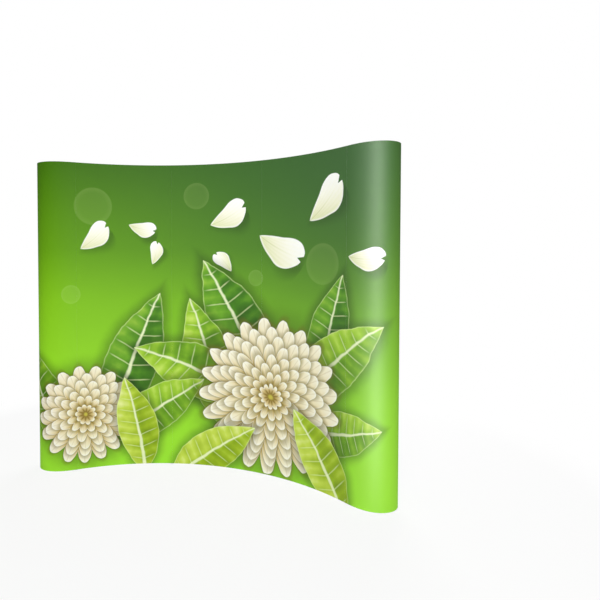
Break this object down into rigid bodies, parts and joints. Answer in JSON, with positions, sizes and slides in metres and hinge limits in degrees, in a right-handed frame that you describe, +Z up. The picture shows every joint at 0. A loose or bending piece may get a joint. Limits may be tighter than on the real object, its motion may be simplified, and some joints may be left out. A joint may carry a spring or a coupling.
{
  "type": "pop up display backwall",
  "caption": "Curved free-standing display wall: scissor frame of tubes and hubs with locking arms, magnetic bars, hook caps, flat front panels and wrapped end panels.",
  "frame": {"origin": "on the floor, at the middle of the overall box", "axes": "+Z up; the concave printed face looks along -Y; +X along the wall to the viewer's right"},
  "size_m": [2.5518, 0.6945, 2.238],
  "materials": {
    "anodised_aluminium": "bright satin anodised extrusion",
    "grey_plastic": "moulded light grey plastic",
    "black_plastic": "moulded black plastic",
    "dark_steel": "dark zinc plated steel",
    "magnetic_tape": "brown-black flexible magnet",
    "white_rail": "off-white plastic rail and coated strip",
    "print_film": "printed film with a satin gloss laminate"
  },
  "bodies": {
    "frame": {"front_hubs_a": "grey_plastic", "front_hubs_b": "grey_plastic", "front_hubs_c": "grey_plastic", "front_hubs_d": "grey_plastic", "rear_hubs_a": "grey_plastic", "rear_hubs_b": "grey_plastic", "rear_hubs_c": "grey_plastic", "rear_hubs_d": "grey_plastic", "cross_tubes_left": "anodised_aluminium", "cross_tubes_centre": "anodised_aluminium", "cross_tubes_right": "anodised_aluminium", "column_tubes_a": "anodised_aluminium", "column_tubes_b": "anodised_aluminium", "column_tubes_c": "anodised_aluminium", "column_tubes_d": "anodised_aluminium", "tube_ends": "grey_plastic", "cross_pivots": "dark_steel", "column_pivots": "dark_steel", "hub_rivets": "dark_steel", "feet": "grey_plastic", "catch_rods": "anodised_aluminium", "arm_pins": "dark_steel", "front_bars_a": "anodised_aluminium", "front_bars_b": "anodised_aluminium", "front_bars_c": "anodised_aluminium", "front_bars_d": "anodised_aluminium", "rear_bars": "anodised_aluminium", "magnetic_tapes": "magnetic_tape", "bar_connectors": "black_plastic", "bar_studs": "black_plastic", "front_caps": "black_plastic", "rear_caps": "black_plastic"},
    "left_panel": {"panel_left": "print_film", "panel_left_rails": "white_rail"},
    "centre_panel": {"panel_centre": "print_film", "panel_centre_rails": "white_rail"},
    "right_panel": {"panel_right": "print_film", "panel_right_rails": "white_rail"},
    "left_end_panel": {"end_panel_left": "print_film", "end_panel_left_rails": "white_rail"},
    "right_end_panel": {"end_panel_right": "print_film", "end_panel_right_rails": "white_rail"},
    "arm_a1": {"lock_arm_a1": "grey_plastic"},
    "arm_a2": {"lock_arm_a2": "grey_plastic"},
    "arm_a3": {"lock_arm_a3": "grey_plastic"},
    "arm_a4": {"lock_arm_a4": "grey_plastic"},
    "arm_b1": {"lock_arm_b1": "grey_plastic"},
    "arm_b2": {"lock_arm_b2": "grey_plastic"},
    "arm_b3": {"lock_arm_b3": "grey_plastic"},
    "arm_b4": {"lock_arm_b4": "grey_plastic"},
    "arm_c1": {"lock_arm_c1": "grey_plastic"},
    "arm_c2": {"lock_arm_c2": "grey_plastic"},
    "arm_c3": {"lock_arm_c3": "grey_plastic"},
    "arm_c4": {"lock_arm_c4": "grey_plastic"},
    "arm_d1": {"lock_arm_d1": "grey_plastic"},
    "arm_d2": {"lock_arm_d2": "grey_plastic"},
    "arm_d3": {"lock_arm_d3": "grey_plastic"},
    "arm_d4": {"lock_arm_d4": "grey_plastic"}
  },
  "joints": [
    {"name": "left_panel_pull", "type": "slide", "parent": "frame", "child": "left_panel", "axis": [0.454, -0.891, 0], "range_m": [0, 0.5]},
    {"name": "centre_panel_pull", "type": "slide", "parent": "frame", "child": "centre_panel", "axis": [0, -1, 0], "range_m": [0, 0.2]},
    {"name": "right_panel_pull", "type": "slide", "parent": "frame", "child": "right_panel", "axis": [-0.454, -0.891, 0], "range_m": [0, 0.5]},
    {"name": "left_end_panel_pull", "type": "slide", "parent": "frame", "child": "left_end_panel", "axis": [-0.7604, -0.6494, 0], "range_m": [0, 0.4]},
    {"name": "right_end_panel_pull", "type": "slide", "parent": "frame", "child": "right_end_panel", "axis": [0.7604, -0.6494, 0], "range_m": [0, 0.4]},
    {"name": "arm_a1_lift", "type": "hinge", "parent": "frame", "child": "arm_a1", "pos_m": [-1.12666, -0.05606, 0.038], "axis": [-0.7604, -0.6494, 0], "range_deg": [0, 50]},
    {"name": "arm_a2_lift", "type": "hinge", "parent": "frame", "child": "arm_a2", "pos_m": [-1.12666, -0.05606, 0.758], "axis": [-0.7604, -0.6494, 0], "range_deg": [0, 50]},
    {"name": "arm_a3_lift", "type": "hinge", "parent": "frame", "child": "arm_a3", "pos_m": [-1.12666, -0.05606, 1.478], "axis": [-0.7604, -0.6494, 0], "range_deg": [0, 50]},
    {"name": "arm_a4_lift", "type": "hinge", "parent": "frame", "child": "arm_a4", "pos_m": [-1.12666, -0.05606, 2.198], "axis": [-0.7604, -0.6494, 0], "range_deg": [0, 50]},
    {"name": "arm_b1_lift", "type": "hinge", "parent": "frame", "child": "arm_b1", "pos_m": [-0.40498, 0.31165, 0.038], "axis": [-0.9724, -0.2334, 0], "range_deg": [0, 50]},
    {"name": "arm_b2_lift", "type": "hinge", "parent": "frame", "child": "arm_b2", "pos_m": [-0.40498, 0.31165, 0.758], "axis": [-0.9724, -0.2334, 0], "range_deg": [0, 50]},
    {"name": "arm_b3_lift", "type": "hinge", "parent": "frame", "child": "arm_b3", "pos_m": [-0.40498, 0.31165, 1.478], "axis": [-0.9724, -0.2334, 0], "range_deg": [0, 50]},
    {"name": "arm_b4_lift", "type": "hinge", "parent": "frame", "child": "arm_b4", "pos_m": [-0.40498, 0.31165, 2.198], "axis": [-0.9724, -0.2334, 0], "range_deg": [0, 50]},
    {"name": "arm_c1_lift", "type": "hinge", "parent": "frame", "child": "arm_c1", "pos_m": [0.40498, 0.31165, 0.038], "axis": [-0.9724, 0.2334, 0], "range_deg": [0, 50]},
    {"name": "arm_c2_lift", "type": "hinge", "parent": "frame", "child": "arm_c2", "pos_m": [0.40498, 0.31165, 0.758], "axis": [-0.9724, 0.2334, 0], "range_deg": [0, 50]},
    {"name": "arm_c3_lift", "type": "hinge", "parent": "frame", "child": "arm_c3", "pos_m": [0.40498, 0.31165, 1.478], "axis": [-0.9724, 0.2334, 0], "range_deg": [0, 50]},
    {"name": "arm_c4_lift", "type": "hinge", "parent": "frame", "child": "arm_c4", "pos_m": [0.40498, 0.31165, 2.198], "axis": [-0.9724, 0.2334, 0], "range_deg": [0, 50]},
    {"name": "arm_d1_lift", "type": "hinge", "parent": "frame", "child": "arm_d1", "pos_m": [1.12666, -0.05606, 0.038], "axis": [-0.7604, 0.6494, 0], "range_deg": [0, 50]},
    {"name": "arm_d2_lift", "type": "hinge", "parent": "frame", "child": "arm_d2", "pos_m": [1.12666, -0.05606, 0.758], "axis": [-0.7604, 0.6494, 0], "range_deg": [0, 50]},
    {"name": "arm_d3_lift", "type": "hinge", "parent": "frame", "child": "arm_d3", "pos_m": [1.12666, -0.05606, 1.478], "axis": [-0.7604, 0.6494, 0], "range_deg": [0, 50]},
    {"name": "arm_d4_lift", "type": "hinge", "parent": "frame", "child": "arm_d4", "pos_m": [1.12666, -0.05606, 2.198], "axis": [-0.7604, 0.6494, 0], "range_deg": [0, 50]}
  ]
}
